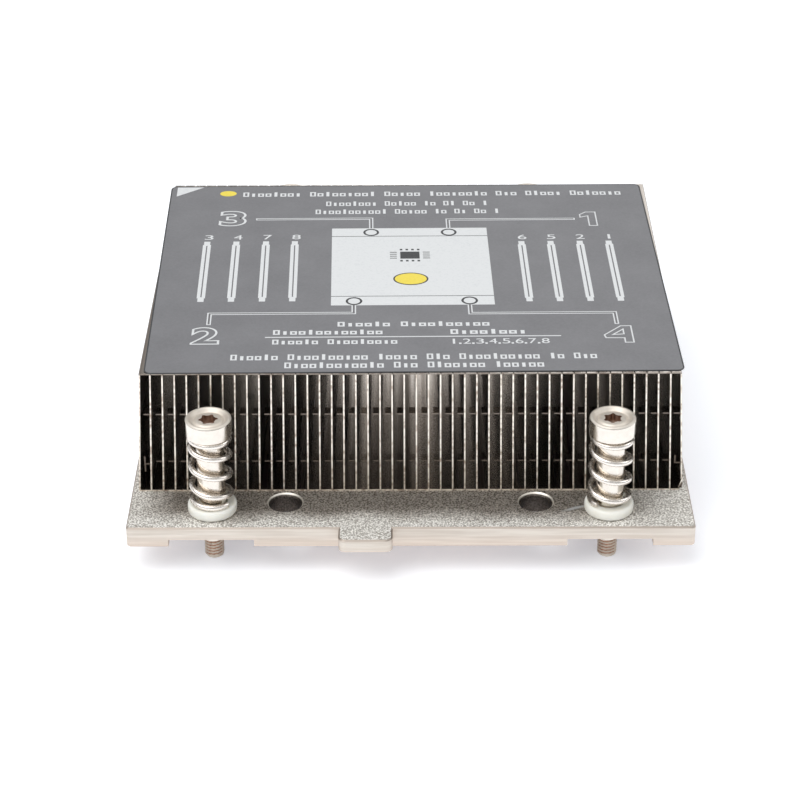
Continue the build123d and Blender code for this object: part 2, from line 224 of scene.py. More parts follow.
def rolled_sheet():
    """Rolled aluminium sheet: satin and slightly wavy, a little different from fin to fin,
    with bright sheared edges that carry small nicks. The folded tops' edges are painted darker as
    shade, and so are the tabs' edges, which lie back in the shade."""
    material, tree, shader = new_material("rolled_aluminium_sheet")
    place = add(tree, "TexCoord", {}, "Object")
    normal = add(tree, "NewGeometry", {}, "Normal")
    x, y, z = add(tree, "SeparateXYZ", {0: place}).node.outputs
    facing = add(tree, "SeparateXYZ", {0: normal}, "Y")
    facing = add(tree, "Math", {0: facing}, operation="ABSOLUTE")
    facing = add(tree, "MapRange", {0: facing, 1: 0.6, 2: 0.8})
    along = add(tree, "Math", {0: y, 1: -FIN_MIDDLE * MM}, operation="ADD")
    along = add(tree, "Math", {0: along}, operation="ABSOLUTE")
    outer = add(tree, "MapRange", {0: along, 1: (FIN_REACH - EDGE_DEPTH[1]) * MM,
                                   2: (FIN_REACH - EDGE_DEPTH[0]) * MM})
    sheared = add(tree, "Math", {0: facing, 1: outer}, operation="MULTIPLY")

    lines = add(tree, "Mapping", {"Vector": place, "Scale": (1, ROLL_LINE_WIDTH / ROLL_LINE_LENGTH, 1)})
    lines = add(tree, "TexNoise", {"Vector": lines, "Scale": 1 / (ROLL_LINE_WIDTH * MM), "Detail": 3.0})
    each = add(tree, "TexNoise", {"W": x, "Scale": 1 / (FIN_TONE_WIDTH * MM), "Detail": 1.0},
               noise_dimensions="1D")
    waves = add(tree, "TexNoise", {"Vector": place, "Scale": 1 / (WAVE_LENGTH * MM), "Detail": 1.5})
    nicks = add(tree, "TexNoise", {"Vector": place, "Scale": 1 / (NICK_SIZE * MM), "Detail": 3.0})

    tone = add(tree, "MapRange", {0: each, 1: 0.35, 2: 0.65})
    wall = add(tree, "Mix", {0: tone, 6: "#9a9189", 7: "#ded7cf"}, 2, data_type="RGBA")
    lined = add(tree, "MapRange", {0: lines, 1: 0.4, 2: 0.7, 4: 0.3})
    wall = add(tree, "Mix", {0: lined, 6: wall, 7: "#7d7068"}, 2, data_type="RGBA")
    # Painted shade: faces that look to the front or the rear, away from the sheets' ends, are the tabs'
    # edges and are painted dark.
    wall = add(tree, "Mix", {0: facing, 6: wall, 7: "#6f665e"}, 2, data_type="RGBA")
    nicked = add(tree, "MapRange", {0: nicks, 1: 0.3, 2: 0.55})
    edge = add(tree, "Mix", {0: nicked, 6: "#b3a191", 7: "#fff8ec"}, 2, data_type="RGBA")
    # Painted shade: the folded tops' front edges are painted darker.
    top_edge_shade = add(tree, "MapRange", {0: z, 1: fin_high.z - TOP_EDGE * MM,
                                    2: fin_high.z - (TOP_EDGE - 0.1) * MM, 4: 0.8})
    edge = add(tree, "Mix", {0: top_edge_shade, 6: edge, 7: "#6d6259"}, 2, data_type="RGBA")
    colour = add(tree, "Mix", {0: sheared, 6: wall, 7: edge}, 2, data_type="RGBA")

    rough = add(tree, "MapRange", {0: each, 1: 0.3, 2: 0.7, 3: 0.3, 4: 0.18})
    rough = add(tree, "Mix", {0: sheared, 2: rough, 3: 0.45})
    bump = add(tree, "Bump", {"Height": waves, "Distance": WAVE_DEPTH * MM, "Strength": 0.6})
    bump = add(tree, "Bump", {"Height": nicks, "Distance": NICK_DEPTH * MM, "Strength": 0.5,
                              "Normal": bump})
    feed(tree, shader, {"Base Color": colour, "Roughness": rough, "Metallic": 1.0, "Normal": bump})
    return material


sheet_metal = rolled_sheet()
for name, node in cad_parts.items():
    if name.startswith("fin_") or name == "end_fins":
        dress(node, sheet_metal)


# Label
# A polyester film with a dark cut edge, stuck over the fins' tops a little turned and a little
# out of square. It is printed with lines, bars, plain numbers and rows of small blocks.
FILM = (107.9, 87.9)
FILM_CENTRE = (-0.05, -1.15)
FILM_TURN = math.radians(0.4)
FILM_SKEW = 0.0123
FILM_THICKNESS = 0.12
FILM_CORNER = 1.5
FILM_EDGE = 0.3
# A film's tooth is finer than this. It is drawn as coarse as it needs to show.
FILM_TOOTH = 0.5
FILM_TOOTH_DEPTH = 0.012
INK_TOOTH_DEPTH = 0.008
FILM_MOTTLE = 9.0
film_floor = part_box("top_label")[0].z / MM
INK_LEVELS = {"white": 0.01, "grey": 0.016, "dark": 0.022, "yellow": 0.028}


def start_piece(name):
    """Names the primitive that was just added."""
    piece = bpy.context.object
    piece.name = name
    piece.data.name = name
    return piece


def select_parts(piece, kind, test):
    """Selects, in edit mode, the faces or the edges that pass a test."""
    mesh = bmesh.from_edit_mesh(piece.data)
    for part in list(mesh.verts) + list(mesh.edges) + list(mesh.faces):
        part.select = False
    for part in getattr(mesh, kind):
        if test(part):
            part.select_set(True)
    bmesh.update_edit_mesh(piece.data)


def upright(edge):
    """True for an edge that runs straight up."""
    a, b = edge.verts[0].co, edge.verts[1].co
    return math.hypot(a.x - b.x, a.y - b.y) < 1e-7


def settle(piece):
    """Puts the object's place, turn and size into its mesh."""
    bpy.ops.object.select_all(action="DESELECT")
    piece.select_set(True)
    bpy.context.view_layer.objects.active = piece
    bpy.ops.object.transform_apply(location=True, rotation=True, scale=True)


def place_on_film(piece):
    """Skews, turns and shifts a piece from a square frame to its place on the fins."""
    for vertex in piece.data.vertices:
        vertex.co.x -= FILM_SKEW * vertex.co.y
    piece.rotation_euler = (0, 0, FILM_TURN)
    piece.location = (FILM_CENTRE[0] * MM, FILM_CENTRE[1] * MM, 0)
    settle(piece)


def printed_film():
    """Matt polyester film, printed grey: almost even, with a faint mottle and a fine tooth
    that softens every reflection."""
    material, tree, shader = new_material("printed_film")
    place = add(tree, "TexCoord", {}, "Object")
    mottle = add(tree, "TexNoise", {"Vector": place, "Scale": 1 / (FILM_MOTTLE * MM), "Detail": 5.0})
    tooth = add(tree, "TexNoise", {"Vector": place, "Scale": 1 / (FILM_TOOTH * MM), "Detail": 2.0})
    tone = add(tree, "MapRange", {0: mottle, 1: 0.3, 2: 0.7})
    colour = add(tree, "Mix", {0: tone, 6: "#6f6f72", 7: "#77777a"}, 2, data_type="RGBA")
    grain = add(tree, "MapRange", {0: tooth, 1: 0.3, 2: 0.7, 4: 0.15})
    colour = add(tree, "Mix", {0: grain, 6: colour, 7: "#949497"}, 2, data_type="RGBA")
    bump = add(tree, "Bump", {"Height": tooth, "Distance": FILM_TOOTH_DEPTH * MM, "Strength": 0.5})
    feed(tree, shader, {"Base Color": colour, "Roughness": 0.5, "IOR": 1.5, "Normal": bump})
    return material


def print_ink(name, code, worn_code):
    """Screen-printed ink: even and matt, thinned a little where the film's tooth shows."""
    material, tree, shader = new_material(name)
    place = add(tree, "TexCoord", {}, "Object")
    tooth = add(tree, "TexNoise", {"Vector": place, "Scale": 1 / (FILM_TOOTH * MM), "Detail": 3.0})
    worn = add(tree, "MapRange", {0: tooth, 1: 0.5, 2: 0.75, 4: 0.6})
    colour = add(tree, "Mix", {0: worn, 6: code, 7: worn_code}, 2, data_type="RGBA")
    bump = add(tree, "Bump", {"Height": tooth, "Distance": INK_TOOTH_DEPTH * MM, "Strength": 0.4})
    feed(tree, shader, {"Base Color": colour, "Roughness": 0.55, "Normal": bump})
    return material


inks = {
    "white": print_ink("white_ink", "#dcdedf", "#ced1d3"),
    "grey": print_ink("grey_ink", "#6a696c", "#757478"),
    "dark": print_ink("dark_ink", "#38393b", "#4a4b4d"),
    "yellow": print_ink("yellow_ink", "#eed950", "#e2cc4c"),
}

film_middle = film_floor + FILM_THICKNESS / 2
bpy.ops.mesh.primitive_cube_add(size=1, location=(0, 0, film_middle * MM))
film = start_piece("label_film")
film.scale = (FILM[0] * MM, FILM[1] * MM, FILM_THICKNESS * MM)
settle(film)
bpy.ops.object.mode_set(mode="EDIT")
select_parts(film, "edges", upright)
bpy.ops.mesh.bevel(offset=FILM_CORNER * MM, segments=8, affect="EDGES")
select_parts(film, "faces", lambda face: face.normal.z > 0.9)
bpy.ops.mesh.inset(thickness=FILM_EDGE * MM)
bpy.ops.object.mode_set(mode="OBJECT")
film.data.materials.append(printed_film())
film.data.materials.append(inks["dark"])
largest = max(face.area for face in film.data.polygons)
for face in film.data.polygons:
    face.material_index = 0 if face.area > 0.9 * largest else 1
place_on_film(film)
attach(film, "heatsink")
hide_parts("top_label")

print_blocks = {ink: [] for ink in INK_LEVELS}
print_shapes = {ink: [] for ink in INK_LEVELS}


def ink_middle(ink):
    """Height of the middle of one layer of ink, in millimetres."""
    return film_floor + FILM_THICKNESS + INK_LEVELS[ink] / 2


def block(ink, x, y, width, depth):
    """Marks out a rectangle of ink by its centre and size in the film's frame."""
    print_blocks[ink].append((x, y, width, depth))


def frame_block(ink, x, y, width, depth, wall):
    """Marks out the outline of a rectangle, without blocks that overlap."""
    for side in (-1, 1):
        block(ink, x + side * (width - wall) / 2, y, wall, depth)
        block(ink, x, y + side * (depth - wall) / 2, width - 2 * wall, wall)


def leader(ink, points, width):
    """Marks out a line that runs up and down at its ends and level between them."""
    for number, ((x0, y0), (x1, y1)) in enumerate(zip(points, points[1:])):
        if y0 == y1:
            block(ink, (x0 + x1) / 2, y0, abs(x1 - x0) + width, width)
        else:
            bend = points[1][1] if number == 0 else y0
            far = y0 if number == 0 else y1
            side = 1 if far > bend else -1
            near = bend + side * width / 2
            if number == 0:
                far += side * width / 2
            block(ink, x0, (near + far) / 2, width, abs(far - near))


def disc(ink, x, y, radius, stretch, wall):
    """Prints a circle or an oval, filled, or only its wall where that is not zero."""
    bpy.ops.mesh.primitive_cylinder_add(vertices=40, radius=radius * MM,
                                        depth=INK_LEVELS[ink] * MM, location=(0, 0, 0))
    piece = bpy.context.object
    if wall:
        bpy.ops.object.mode_set(mode="EDIT")
        select_parts(piece, "faces", lambda face: abs(face.normal.z) > 0.9)
        bpy.ops.mesh.inset(thickness=wall * MM, use_individual=True)
        bpy.ops.mesh.bridge_edge_loops(use_merge=False)
        bpy.ops.object.mode_set(mode="OBJECT")
    piece.scale = (stretch, 1, 1)
    piece.location = (x * MM, y * MM, ink_middle(ink) * MM)
    print_shapes[ink].append(piece)


def fit_print(piece, ink, x, y, width, height):
    """Scales a drawn number to its size on the film and adds it to the print."""
    bpy.ops.object.convert(target="MESH")
    corners = [vertex.co for vertex in piece.data.vertices]
    low = [min(c[n] for c in corners) for n in range(3)]
    high = [max(c[n] for c in corners) for n in range(3)]
    size = (width, height, INK_LEVELS[ink])
    for vertex in piece.data.vertices:
        for n in range(3):
            share = (vertex.co[n] - low[n]) / (high[n] - low[n]) - 0.5
            vertex.co[n] = share * size[n] * MM
    piece.location = (x * MM, y * MM, ink_middle(ink) * MM)
    print_shapes[ink].append(piece)


def outlined_number(number, x, y, width, height):
    """Prints the outline of a plain number. One and four are drawn here, with broad strokes."""
    if number in DRAWN_NUMBERS:
        curve = bpy.data.curves.new("number", "CURVE")
        curve.dimensions = "2D"
        for corners in DRAWN_NUMBERS[number]:
            line = curve.splines.new("POLY")
            line.points.add(len(corners) - 1)
            for point, (across, along) in zip(line.points, corners):
                point.co = (across * width / height, along, 0, 1)
            line.use_cyclic_u = True
        piece = bpy.data.objects.new("number", curve)
        bpy.context.scene.collection.objects.link(piece)
        bpy.ops.object.select_all(action="DESELECT")
        piece.select_set(True)
        bpy.context.view_layer.objects.active = piece
    else:
        bpy.ops.object.text_add(location=(0, 0, 0))
        piece = bpy.context.object
        piece.data.body = str(number)
        piece.data.offset = 0.03
    piece.data.fill_mode = "NONE"
    piece.data.bevel_depth = OUTLINE_STROKE
    piece.data.bevel_resolution = 1
    fit_print(piece, "white", x, y, width, height)


def filled_number(number, x, y, width, height):
    """Prints a small plain number."""
    bpy.ops.object.text_add(location=(0, 0, 0))
    piece = bpy.context.object
    piece.data.body = str(number)
    piece.data.extrude = 0.1
    fit_print(piece, "white", x, y, ONE_SHARE * width if number == 1 else width, height)


def block_row(x, y, length, height, groups):
    """Prints a line of small blocks and frames in groups, with one empty place between groups."""
    cells = sum(groups) + len(groups) - 1
    step = length / cells
    start = x - length / 2 + step / 2
    count = 0
    for group in groups:
        for cell in range(group):
            tall = height if cell == 0 or count % 6 == 4 else height * LOW_BLOCK
            level = y - (height - tall) / 2
            if count % 3 == 1:
                block("white", start, level, step * NARROW_BLOCK, tall)
            else:
                frame_block("white", start, level, step * WIDE_BLOCK, tall, step * BLOCK_STROKE)
            start += step
            count += 1
        start += step


ONE_SHARE = 0.3
LOW_BLOCK = 0.74
NARROW_BLOCK = 0.4
WIDE_BLOCK = 0.8
BLOCK_STROKE = 0.24
OUTLINE_STROKE = 0.024
DRAWN_NUMBERS = {
    1: [[(0, 0.62), (0, 0.82), (0.4, 1), (1, 1), (1, 0), (0.5, 0), (0.5, 0.72)]],
    4: [[(0, 0.45), (0.64, 1), (1, 1), (1, 0), (0.7, 0), (0.7, 0.27), (0.04, 0.28)],
        [(0.31, 0.47), (0.7, 0.8), (0.7, 0.5)]],
}
NUMBERS = (
    (3, -39.07, 26.8, 6.3, 7.9),
    (1, 40.65, 25.6, 3.85, 7.3),
    (2, -42.4, -28.35, 6.05, 7.5),
    (4, 42.1, -28.65, 6.1, 7.4),
)
SQUARE = (0.39, 2.98, 34.35, 36.7)
SQUARE_LINES = (17.3, -11.3)
SQUARE_LINE_WIDTH = 0.2
RINGS = ((-8.1, 19.25), (9.1, 19.15), (-11.95, -13.5), (12.35, -13.5))
RING_RADIUS = 1.75
RING_WALL = 0.48
LEADER_WIDTH = 0.95
LEADER_CORE = 0.4
LEADERS = (
    ((-33.4, 26.3), (-8.06, 26.3), (-8.06, 21.3)),
    ((37.15, 25.6), (9.1, 25.6), (9.1, 21.3)),
    ((-42.0, -23.2), (-42.0, -18.8), (-12.0, -18.8), (-12.0, -15.3)),
    ((42.25, -23.8), (42.25, -19.2), (12.3, -19.2), (12.3, -15.3)),
)
block("white", *SQUARE)
for level in SQUARE_LINES:
    block("dark", SQUARE[0], level, SQUARE[2], SQUARE_LINE_WIDTH)
for points in LEADERS:
    leader("white", points, LEADER_WIDTH)
    leader("grey", points, LEADER_CORE)
for x, y in RINGS:
    disc("dark", x, y, RING_RADIUS, 1.0, RING_WALL)
for row in NUMBERS:
    outlined_number(*row)

BAR_LENGTH = 28.5
BAR_WIDTH = 1.75
BAR_END = 1.6
BAR_CORE = 0.26
BAR_NECK = 0.76
BAR_NUMBER = (0.3, 2.1, 1.9, 2.2)
LEFT_BARS = ((3, -44.23), (4, -37.82), (7, -31.3), (8, -24.94))
RIGHT_BARS = ((6, 24.92), (5, 31.33), (2, 37.75), (1, 44.12))
LEFT_LEVEL = 0.85
RIGHT_LEVEL = 0.2
bars = [(*bar, LEFT_LEVEL) for bar in LEFT_BARS] + [(*bar, RIGHT_LEVEL) for bar in RIGHT_BARS]
for number, x, y in bars:
    block("white", x, y, BAR_WIDTH, BAR_LENGTH - 2 * BAR_END)
    for side in (-1, 1):
        block("white", x, y + side * (BAR_LENGTH - BAR_END) / 2, BAR_WIDTH * BAR_NECK, BAR_END)
    block("grey", x, y, BAR_CORE, BAR_LENGTH - 2.6 * BAR_END)
    right, above, width, height = BAR_NUMBER
    filled_number(number, x + right, y + BAR_LENGTH / 2 + above, width, height)

BLOCK_ROWS = (
    (5.95, 39.35, 86.8, 2.3, (8, 9, 5, 8, 3, 5, 7)),
    (0.12, 34.2, 37.0, 2.3, (8, 5, 2, 2, 2, 1)),
    (0.17, 30.0, 41.8, 2.3, (11, 5, 2, 2, 2, 1)),
    (0.3, -23.7, 31.7, 2.0, (6, 10)),
    (-17.35, -27.1, 22.8, 2.0, (13,)),
    (15.6, -27.2, 16.0, 2.0, (8,)),
    (-15.9, -31.2, 25.8, 2.0, (6, 9)),
    (0.02, -37.6, 74.1, 2.3, (6, 10, 5, 3, 10, 2, 3)),
    (0.05, -40.95, 52.3, 2.3, (12, 3, 7, 6)),
)
for row in BLOCK_ROWS:
    block_row(*row)
UNDERLINE = (0.1, -29.2, 60.5, 0.35)
block("white", *UNDERLINE)
ROW_START = 5.7
ROW_LEVEL = -31.3
ROW_STEP = 2.67
ROW_LAST = 8
for number in range(1, ROW_LAST + 1):
    filled_number(number, ROW_START + number * ROW_STEP, ROW_LEVEL, 1.6, 2.1)
    if number < ROW_LAST:
        block("white", ROW_START + (number + 0.47) * ROW_STEP, ROW_LEVEL - 0.9, 0.5, 0.6)

CHIP_X = 0.25
CHIP_Y = 7.9
CHIP_WIDTH = 4.2
CHIP_DEPTH = 3.4
PIN_STEPS = (1.25, 0.95)
PIN_REACH = (3.6, 2.7)
block("dark", CHIP_X, CHIP_Y, CHIP_WIDTH, CHIP_DEPTH)
for n in range(4):
    for side in (-1, 1):
        block("dark", CHIP_X + (n - 1.5) * PIN_STEPS[0], CHIP_Y + side * PIN_REACH[1], 0.55, 0.7)
        block("dark", CHIP_X + side * PIN_REACH[0], CHIP_Y + (n - 1.5) * PIN_STEPS[1], 1.5, 0.3)
OVALS = (
    ("dark", 0.2, -3.4, 2.9, 1.3),
    ("yellow", 0.2, -3.4, 2.55, 1.34),
    ("yellow", -40.7, 39.9, 1.4, 1.35),
)
for ink, x, y, radius, stretch in OVALS:
    disc(ink, x, y, radius, stretch, 0)

WHITE_CORNER = [(-52.5, 43.4), (-46.4, 43.4), (-52.5, 38.6)]
bpy.ops.mesh.primitive_cylinder_add(vertices=3, radius=MM, depth=INK_LEVELS["white"] * MM,
                                    location=(0, 0, 0))
corner = bpy.context.object
for vertex in corner.data.vertices:
    place = round(math.atan2(vertex.co.x, vertex.co.y) / (2 * math.pi / 3)) % 3
    vertex.co.x, vertex.co.y = [c * MM for c in WHITE_CORNER[place]]
corner.location = (0, 0, ink_middle("white") * MM)
print_shapes["white"].append(corner)

for ink in INK_LEVELS:
    bpy.ops.mesh.primitive_cube_add(size=MM, location=(0, 0, 0))
    printed = start_piece(f"{ink}_print")
    bpy.ops.object.mode_set(mode="EDIT")
    bpy.ops.mesh.delete(type="VERT")
    for x, y, width, depth in print_blocks[ink]:
        bpy.ops.mesh.primitive_cube_add(size=1, location=(x * MM, y * MM, ink_middle(ink) * MM),
                                        scale=(width * MM, depth * MM, INK_LEVELS[ink] * MM))
    bpy.ops.object.mode_set(mode="OBJECT")
    bpy.ops.object.select_all(action="DESELECT")
    for part in print_shapes[ink]:
        part.select_set(True)
    printed.select_set(True)
    bpy.context.view_layer.objects.active = printed
    bpy.ops.object.join()
    place_on_film(printed)
    dress(printed, inks[ink])
    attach(printed, "heatsink")
    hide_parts("top_label")


# Nylon washers
# Thick natural nylon washers with rounded edges, one under each spring.
# They are milky, so light goes a little way into them.
screw_places = {}
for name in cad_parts:
    if name.endswith("_spring"):
        low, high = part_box(name)
        screw_places[name[:-len("_spring")]] = (low + high) / 2
plate_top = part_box("nylon_washers")[0].z / MM
washer_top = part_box("nylon_washers")[1].z / MM
WASHER_RADIUS = 4.95
WASHER_BORE = 3.1
WASHER_EDGE = 0.6
CLOUD_SIZE = 2.5


def natural_nylon():
    """Moulded natural nylon: milky white, satin, with a faint cloudiness."""
    material, tree, shader = new_material("natural_nylon")
    place = add(tree, "TexCoord", {}, "Object")
    cloud = add(tree, "TexNoise", {"Vector": place, "Scale": 1 / (CLOUD_SIZE * MM), "Detail": 3.0})
    colour = add(tree, "Mix", {0: cloud, 6: "#eae8dd", 7: "#fbfaf2"}, 2, data_type="RGBA")
    feed(tree, shader, {"Base Color": colour, "Roughness": 0.38, "IOR": 1.53,
                        "Subsurface Weight": 0.5, "Subsurface Radius": (1.0, 0.95, 0.85),
                        "Subsurface Scale": 1.2 * MM})
    return material


def copy_to(piece, name, centre, turn=0):
    """Copies a piece that stands on the Z axis to a place, with a mesh of its own."""
    made = bpy.data.objects.new(name, piece.data.copy())
    made.data.name = name
    bpy.context.scene.collection.objects.link(made)
    made.rotation_euler = (0, 0, math.radians(turn))
    made.location = (centre.x, centre.y, 0)
    settle(made)
    return made


nylon = natural_nylon()
washer_middle = (plate_top + washer_top) / 2
bpy.ops.mesh.primitive_cylinder_add(vertices=72, radius=WASHER_RADIUS * MM,
                                    depth=(washer_top - plate_top) * MM,
                                    location=(0, 0, washer_middle * MM))
washer = start_piece("washer_pattern")
settle(washer)
bpy.ops.object.mode_set(mode="EDIT")
select_parts(washer, "faces", lambda face: abs(face.normal.z) > 0.9)
bpy.ops.mesh.bevel(offset=WASHER_EDGE * MM, segments=4, affect="EDGES")
select_parts(washer, "faces", lambda face: abs(face.normal.z) > 0.99)
bpy.ops.mesh.inset(thickness=(WASHER_RADIUS - WASHER_EDGE - WASHER_BORE) * MM)
bpy.ops.mesh.bridge_edge_loops(use_merge=False)
bpy.ops.object.mode_set(mode="OBJECT")
bpy.ops.object.shade_smooth_by_angle(angle=math.radians(40))
for name, centre in screw_places.items():
    piece = copy_to(washer, f"{name}_nylon_washer", centre)
    dress(piece, nylon)
    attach(piece, "heatsink")
    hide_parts("nylon_washers")
bpy.data.objects.remove(washer)


# Springs
# Bright plated wire, coiled left-handed, with closed ends that are ground flat. Each one is
# held between its washer and its screw's head.
SPRING_RADIUS = 4.5
WIRE = 1.25
SPRING_TURNS = 4.4
CLOSED_TURNS = 0.6
EASED_TURNS = 0.3
CLOSED_PITCH = 1.3
GROUND = 0.45
STEPS_PER_TURN = 40
SPRING_STARTS = {"front_left": -36, "front_right": -132, "rear_left": 40, "rear_right": 150}
DRAWN_MARK = 0.6
spring_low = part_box("front_left_spring")[0].z / MM
spring_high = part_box("front_left_spring")[1].z / MM


def eased(turn):
    """Length of open coil passed, opening smoothly over the eased turns."""
    share = min(max(turn / EASED_TURNS, 0), 1)
    return EASED_TURNS * share * share / 2 + max(turn - EASED_TURNS, 0)


def bright_wire():
    """Bright zinc-plated wire: mirror-like, with faint drawing marks."""
    material, tree, shader = new_material("bright_plated_wire")
    place = add(tree, "TexCoord", {}, "Object")
    marks = add(tree, "TexNoise", {"Vector": place, "Scale": 1 / (DRAWN_MARK * MM), "Detail": 3.0})
    colour = add(tree, "Mix", {0: marks, 6: "#e6ddd4", 7: "#fffaf3"}, 2, data_type="RGBA")
    rough = add(tree, "MapRange", {0: marks, 1: 0.3, 2: 0.7, 3: 0.2, 4: 0.34})
    feed(tree, shader, {"Base Color": colour, "Roughness": rough, "Metallic": 1.0})
    return material


def spring_piece(name, start):
    """A round wire along the coil, cut flat at both ends."""
    radius = SPRING_RADIUS - WIRE / 2
    rise = spring_high - spring_low - 2 * GROUND
    open_turns = SPRING_TURNS - 2 * CLOSED_TURNS - EASED_TURNS
    step = (rise - CLOSED_PITCH * SPRING_TURNS) / open_turns
    count = round(SPRING_TURNS * STEPS_PER_TURN)
    curve = bpy.data.curves.new(name, "CURVE")
    curve.dimensions = "3D"
    curve.bevel_depth = WIRE / 2 * MM
    curve.bevel_resolution = 5
    curve.use_fill_caps = True
    line = curve.splines.new("POLY")
    line.points.add(count)
    for n in range(count + 1):
        turn = n / count * SPRING_TURNS
        angle = math.radians(start) - 2 * math.pi * turn
        height = spring_low + GROUND + CLOSED_PITCH * turn
        height += step * eased(turn - CLOSED_TURNS)
        height -= step * eased(turn - SPRING_TURNS + CLOSED_TURNS + EASED_TURNS)
        point = (radius * math.cos(angle), radius * math.sin(angle), height)
        line.points[n].co = [c * MM for c in point] + [1]
    piece = bpy.data.objects.new(name, curve)
    bpy.context.scene.collection.objects.link(piece)
    bpy.ops.object.select_all(action="DESELECT")
    piece.select_set(True)
    bpy.context.view_layer.objects.active = piece
    bpy.ops.object.convert(target="MESH")
    piece = bpy.context.object
    bpy.ops.object.mode_set(mode="EDIT")
    for level, side in ((spring_low, 1), (spring_high, -1)):
        bpy.ops.mesh.select_all(action="SELECT")
        bpy.ops.mesh.bisect(plane_co=(0, 0, level * MM), plane_no=(0, 0, side),
                            use_fill=True, clear_inner=True)
    bpy.ops.mesh.select_all(action="SELECT")
    bpy.ops.mesh.remove_doubles(threshold=0.002 * MM)
    bpy.ops.mesh.normals_make_consistent(inside=False)
    bpy.ops.object.mode_set(mode="OBJECT")
    bpy.ops.object.shade_smooth_by_angle(angle=math.radians(40))
    return piece


wire = bright_wire()
for name, centre in screw_places.items():
    coil = spring_piece(f"{name}_coil", SPRING_STARTS[name])
    coil.location = (centre.x, centre.y, 0)
    settle(coil)
    dress(coil, wire)
    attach(coil, "heatsink")
    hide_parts(f"{name}_spring")
    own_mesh(coil)


# Screws
# Captive screws of plated steel, turned with a dished head, a star recess, a smooth shank
# that the spring slides on, and a thread that shows under the plate.
screw_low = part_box("front_left_screw")[0].z / MM
screw_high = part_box("front_left_screw")[1].z / MM
HEAD_RADIUS = 4.65
HEAD_UNDERSIDE = 24.5
SHANK_RADIUS = 2.85
SHANK_END = 4.9
NECK_RADIUS = 2.4
NECK_END = 0.2
GROOVE_TOP = 3.75
GROOVE_FOOT = 2.95
GROOVE_RADIUS = 1.9
THREAD_RADIUS = 2.0
THREAD_PITCH = 0.7
THREAD_DEPTH = 0.4
THREAD_ROOT = 1.74
TURNED_ROUGHNESS = 0.62
HAZE_SIZE = 1.2
TIP_CHAMFER = 0.5
RECESS_RADIUS = 1.93
RECESS_LOBE = 0.42
RECESS_DEPTH = 1.7
BOSS_RADIUS = 2.65
BOSS_TOP = screw_high - 0.4
AROUND = 72
THREAD_STEPS = 74


def extend(piece, steps, radius):
    """Grows the selected end of a turned piece through rings of given radius and height."""
    for wide, level_from, level_to in steps:
        bpy.ops.mesh.extrude_region_move(
            TRANSFORM_OT_translate={"value": (0, 0, (level_to - level_from) * MM)})
        share = wide / radius
        bpy.ops.transform.resize(value=(share, share, 1), center_override=(0, 0, level_to * MM))
        radius = wide


def levels(points):
    """Turns (radius, height) points into the steps that extend needs."""
    return [(b[0], a[1], b[1]) for a, b in zip(points, points[1:])]


def star_radius(angle):
    """Outline of the six-lobed recess at an angle."""
    lobe_place = RECESS_RADIUS - RECESS_LOBE
    turn = (angle + math.pi / 6) % (math.pi / 3) - math.pi / 6
    inside = RECESS_LOBE ** 2 - (lobe_place * math.sin(turn)) ** 2
    if inside > 0:
        return max(lobe_place * math.cos(turn) + math.sqrt(inside), lobe_place)
    return lobe_place


def plating(name, dark, light, rough_low, rough_high):
    """Bright nickel plate on steel: almost a mirror round the sides, faintly warm and hazy, and
    satin where the head's top was turned. In the thread's roots and the star recess it is painted
    darker and brown as shade."""
    material, tree, shader = new_material(name)
    place = add(tree, "TexCoord", {}, "Object")
    haze = add(tree, "TexNoise", {"Vector": place, "Scale": 1 / (HAZE_SIZE * MM), "Detail": 4.0})
    colour = add(tree, "Mix", {0: haze, 6: dark, 7: light}, 2, data_type="RGBA")
    normal = add(tree, "NewGeometry", {}, "Normal")
    up = add(tree, "SeparateXYZ", {0: normal}, "Z")
    turned = add(tree, "MapRange", {0: up, 1: 0.3, 2: 0.7})
    rough = add(tree, "MapRange", {0: haze, 1: 0.3, 2: 0.7, 3: rough_low, 4: rough_high})
    rough = add(tree, "Mix", {0: turned, 2: rough, 3: TURNED_ROUGHNESS})
    feed(tree, shader, {"Base Color": colour, "Roughness": rough, "Metallic": 1.0})
    return material


bpy.ops.mesh.primitive_cylinder_add(vertices=AROUND, radius=SHANK_RADIUS * MM,
                                    depth=(HEAD_UNDERSIDE - SHANK_END) * MM,
                                    location=(0, 0, (HEAD_UNDERSIDE + SHANK_END) / 2 * MM))
screw = start_piece("screw_pattern")
settle(screw)
bpy.ops.object.mode_set(mode="EDIT")

select_parts(screw, "faces", lambda face: face.normal.z > 0.9)
head = [
    (SHANK_RADIUS, HEAD_UNDERSIDE),
    (HEAD_RADIUS - 0.12, HEAD_UNDERSIDE),
    (HEAD_RADIUS, HEAD_UNDERSIDE + 0.12),
    (HEAD_RADIUS, screw_high - 0.5),
    (HEAD_RADIUS - 0.05, screw_high - 0.3),
    (HEAD_RADIUS - 0.17, screw_high - 0.13),
    (HEAD_RADIUS - 0.35, screw_high - 0.03),
    (HEAD_RADIUS - 0.52, screw_high),
    (HEAD_RADIUS - 0.7, screw_high - 0.04),
    (HEAD_RADIUS - 0.85, screw_high - 0.16),
    (3.5, screw_high - 0.62),
    (3.36, screw_high - 0.74),
    (3.2, screw_high - 0.78),
    (3.02, screw_high - 0.76),
    (2.88, screw_high - 0.68),
    (BOSS_RADIUS + 0.06, BOSS_TOP - 0.08),
    (BOSS_RADIUS - 0.1, BOSS_TOP),
    (2.3, BOSS_TOP),
]
extend(screw, levels(head), SHANK_RADIUS)
bpy.ops.mesh.inset(thickness=0.04 * MM)
mesh = bmesh.from_edit_mesh(screw.data)
recess_ring = {v for f in mesh.faces if f.select for v in f.verts}
for vertex in recess_ring:
    angle = math.atan2(vertex.co.y, vertex.co.x)
    wide = star_radius(angle) * MM
    vertex.co.x = wide * math.cos(angle)
    vertex.co.y = wide * math.sin(angle)
bmesh.update_edit_mesh(screw.data)
